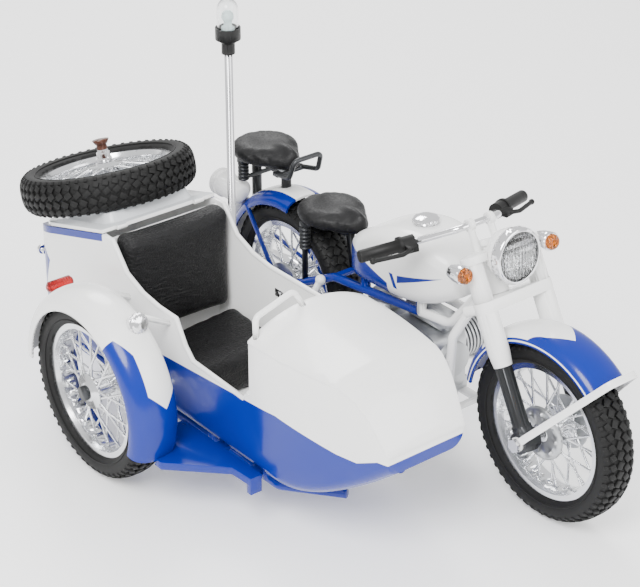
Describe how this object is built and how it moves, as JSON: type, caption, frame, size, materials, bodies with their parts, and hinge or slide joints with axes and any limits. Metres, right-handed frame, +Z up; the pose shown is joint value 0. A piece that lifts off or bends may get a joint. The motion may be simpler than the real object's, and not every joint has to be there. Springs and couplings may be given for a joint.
{
  "type": "motorcycle and sidecar scale model",
  "caption": "Scale model motorcycle with passenger sidecar, spare wheel on a hinged boot lid, beacon mast, sprung steering fork and spoked rolling wheels.",
  "frame": {"origin": "bottom centre of the overall bounding box, on the ground under the model", "axes": "+X forwards, +Y to the rider's left with the sidecar on -Y, +Z up"},
  "size_m": [0.252, 0.1564, 0.157],
  "materials": {
    "blue_paint": "gloss",
    "white_paint": "gloss",
    "chrome": "polished",
    "cast_metal": "satin",
    "dark_metal": "satin",
    "tyre_rubber": "matt tread",
    "grip_rubber": "ribbed",
    "black_leather": "creased",
    "clear_glass": "clear",
    "amber_lens": "glossy",
    "red_lens": "glossy",
    "lamp_bulb": "glossy",
    "black_plastic": "matt"
  },
  "bodies": {
    "chassis": {"main_frame": "blue_paint", "engine_case": "cast_metal", "cylinders": "cast_metal", "generator": "cast_metal", "carburettors": "cast_metal", "exhausts": "chrome", "final_drive": "cast_metal", "rear_axle": "chrome", "fuel_tank": "white_paint", "tank_cap": "chrome", "rider_saddle": "black_leather", "rider_bracket": "dark_metal", "pillion_saddle": "black_leather", "pillion_bracket": "dark_metal", "rear_fender": "white_paint", "rear_siren": "white_paint", "sidecar_struts": "blue_paint", "sidecar_chassis": "blue_paint", "footboard": "blue_paint", "sidecar_axle": "dark_metal", "sidecar_tub": "blue_paint", "sidecar_deck": "white_paint", "grab_rail": "white_paint", "seat_cushion": "black_leather", "seat_back": "black_leather", "mast_pole": "chrome", "beacon_base": "black_plastic", "beacon_dome": "clear_glass", "beacon_bulb": "lamp_bulb", "sidecar_fender": "white_paint", "sidecar_front_lamp": "chrome", "sidecar_rear_lamps": "red_lens"},
    "steering": {"lower_yoke": "blue_paint", "upper_yoke": "white_paint", "fork_covers": "white_paint", "handlebar": "chrome", "grips": "grip_rubber", "hand_levers": "dark_metal", "headlamp_shell": "white_paint", "headlamp_rim": "chrome", "headlamp_reflector": "chrome", "headlamp_lens": "clear_glass", "indicator_bodies": "chrome", "indicator_lenses": "amber_lens"},
    "fork_lower": {"fork_legs": "dark_metal", "front_fender": "blue_paint", "front_fender_stay": "white_paint", "front_axle": "chrome", "front_brake_plate": "cast_metal"},
    "front_wheel": {"front_tyre": "tyre_rubber", "front_rim": "chrome", "front_drum": "dark_metal"},
    "rear_wheel": {"rear_tyre": "tyre_rubber", "rear_rim": "chrome"},
    "sidecar_wheel": {"sidecar_tyre": "tyre_rubber", "sidecar_rim": "chrome"},
    "boot_lid_body": {"boot_lid": "white_paint", "spare_mount": "chrome"},
    "spare_wheel": {"spare_tyre": "tyre_rubber", "spare_rim": "chrome"}
  },
  "joints": [
    {"name": "steering", "type": "hinge", "parent": "chassis", "child": "steering", "pos_m": [0.05996, 0.03851, 0.07931], "axis": [-0.4695, 0, 0.8829], "range_deg": [-22, 22]},
    {"name": "fork_travel", "type": "slide", "parent": "steering", "child": "fork_lower", "axis": [-0.4695, 0, 0.8829], "range_m": [0, 0.004], "stiffness_N_per_m": 1000, "springref_m": -0.004},
    {"name": "front_wheel_spin", "type": "hinge", "parent": "fork_lower", "child": "front_wheel", "pos_m": [0.09197, 0.03851, 0.03403], "axis": [0, 1, 0], "continuous": true},
    {"name": "rear_wheel_spin", "type": "hinge", "parent": "chassis", "child": "rear_wheel", "pos_m": [-0.05003, 0.03851, 0.03403], "axis": [0, 1, 0], "continuous": true},
    {"name": "sidecar_wheel_spin", "type": "hinge", "parent": "chassis", "child": "sidecar_wheel", "pos_m": [-0.02953, -0.06849, 0.03403], "axis": [0, 1, 0], "continuous": true},
    {"name": "boot_lid_hinge", "type": "hinge", "parent": "chassis", "child": "boot_lid_body", "pos_m": [-0.05803, -0.02079, 0.07703], "axis": [0, 1, 0], "range_deg": [0, 45]},
    {"name": "spare_wheel_spin", "type": "hinge", "parent": "boot_lid_body", "child": "spare_wheel", "pos_m": [-0.0928, -0.02079, 0.07998], "axis": [-0.284, 0, 0.9588], "continuous": true}
  ]
}
